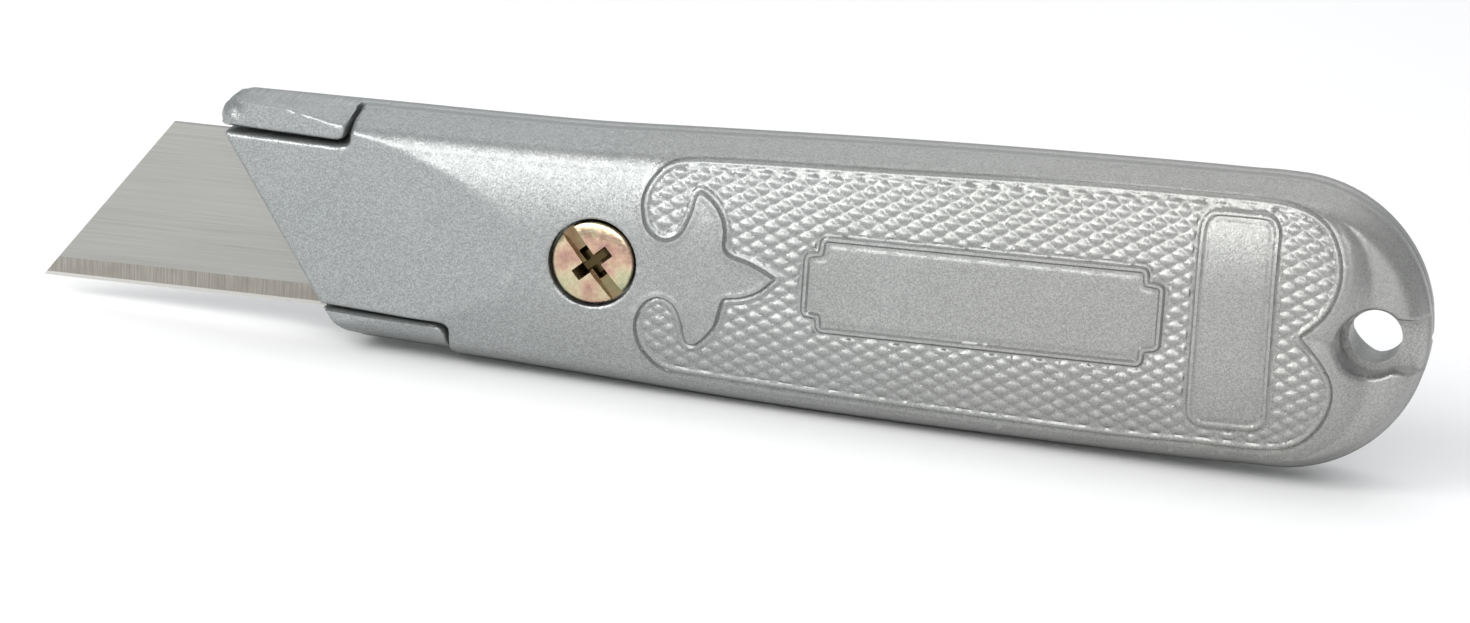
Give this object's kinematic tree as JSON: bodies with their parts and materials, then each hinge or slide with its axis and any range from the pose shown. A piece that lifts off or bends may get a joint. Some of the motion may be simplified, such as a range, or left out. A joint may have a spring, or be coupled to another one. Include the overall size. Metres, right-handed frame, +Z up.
{
  "type": "fixed-blade utility knife",
  "caption": "Fixed-blade utility knife: two-part cast metal handle closed by one screw, trapezoid blade clamped in the nose, spare blades inside.",
  "frame": {"origin": "middle of the length and thickness, on the floor under the belly", "axes": "+X from the blade tip towards the tail, -Y out of the side with the screw, +Z up towards the spine"},
  "size_m": [0.155, 0.0184, 0.0332],
  "materials": {
    "cast_silver": "satin silver paint with fine grain",
    "yellow_zinc": "yellow zinc plating",
    "blade_steel": "fine brushed"
  },
  "bodies": {
    "hook_side": {"handle_hook_side": "cast_silver"},
    "screw_side": {"handle_screw_side": "cast_silver"},
    "screw": {"clamp_screw": "yellow_zinc"},
    "blade": {"working_blade": "blade_steel"},
    "spare_1": {"spare_blade_1": "blade_steel"},
    "spare_2": {"spare_blade_2": "blade_steel"},
    "spare_3": {"spare_blade_3": "blade_steel"},
    "spare_4": {"spare_blade_4": "blade_steel"},
    "spare_5": {"spare_blade_5": "blade_steel"}
  },
  "joints": [
    {"name": "cover_lift", "type": "slide", "parent": "hook_side", "child": "screw_side", "axis": [0, -1, 0], "range_m": [0, 0.04]},
    {"name": "screw_turn", "type": "hinge", "parent": "screw_side", "child": "screw", "pos_m": [-0.0136, 0, 0.0146], "axis": [0, -1, 0], "range_deg": [0, 2520]},
    {"name": "blade_tilt", "type": "hinge", "parent": "hook_side", "child": "blade", "pos_m": [-0.0775, 0, 0.0022], "axis": [0.9995, 0, 0.0332], "range_deg": [0, 30]},
    {"name": "spare_1_lift", "type": "slide", "parent": "hook_side", "child": "spare_1", "axis": [0, -1, 0], "range_m": [0, 0.024]},
    {"name": "spare_2_lift", "type": "slide", "parent": "hook_side", "child": "spare_2", "axis": [0, -1, 0], "range_m": [0, 0.02]},
    {"name": "spare_3_lift", "type": "slide", "parent": "hook_side", "child": "spare_3", "axis": [0, -1, 0], "range_m": [0, 0.016]},
    {"name": "spare_4_lift", "type": "slide", "parent": "hook_side", "child": "spare_4", "axis": [0, -1, 0], "range_m": [0, 0.012]},
    {"name": "spare_5_lift", "type": "slide", "parent": "hook_side", "child": "spare_5", "axis": [0, -1, 0], "range_m": [0, 0.008]}
  ],
  "couplings": [
    {"joint": "blade_tilt", "follows": "cover_lift", "rad_per_m": 12},
    {"joint": "spare_1_lift", "follows": "cover_lift", "ratio": 0.6},
    {"joint": "spare_2_lift", "follows": "cover_lift", "ratio": 0.5},
    {"joint": "spare_3_lift", "follows": "cover_lift", "ratio": 0.4},
    {"joint": "spare_4_lift", "follows": "cover_lift", "ratio": 0.3},
    {"joint": "spare_5_lift", "follows": "cover_lift", "ratio": 0.2}
  ]
}
